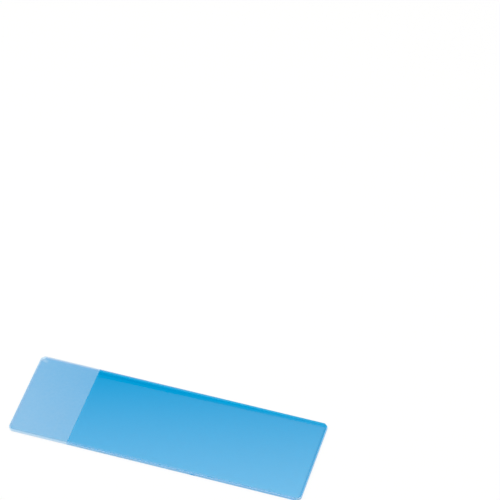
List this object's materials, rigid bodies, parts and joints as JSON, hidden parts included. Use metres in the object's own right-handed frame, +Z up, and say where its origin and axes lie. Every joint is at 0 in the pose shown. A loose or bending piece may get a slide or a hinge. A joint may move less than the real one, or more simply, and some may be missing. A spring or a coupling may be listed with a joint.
{
  "type": "microscope slide",
  "caption": "Thin flat rectangular glass microscope slide with ground edges, clipped corners and a frosted writing panel across one end of its top face.",
  "frame": {"origin": "centre of the underside, on the surface that the slide lies on", "axes": "+X along the length, away from the frosted end; +Y across the width; +Z up through the thickness, out of the face with the frosted panel"},
  "size_m": [0.076, 0.026, 0.0009],
  "materials": {
    "blue_tinted_glass": "polished faces, ground edges, and one end of the top face frosted"
  },
  "bodies": {
    "root": {"glass_slide": "blue_tinted_glass"}
  },
  "joints": []
}
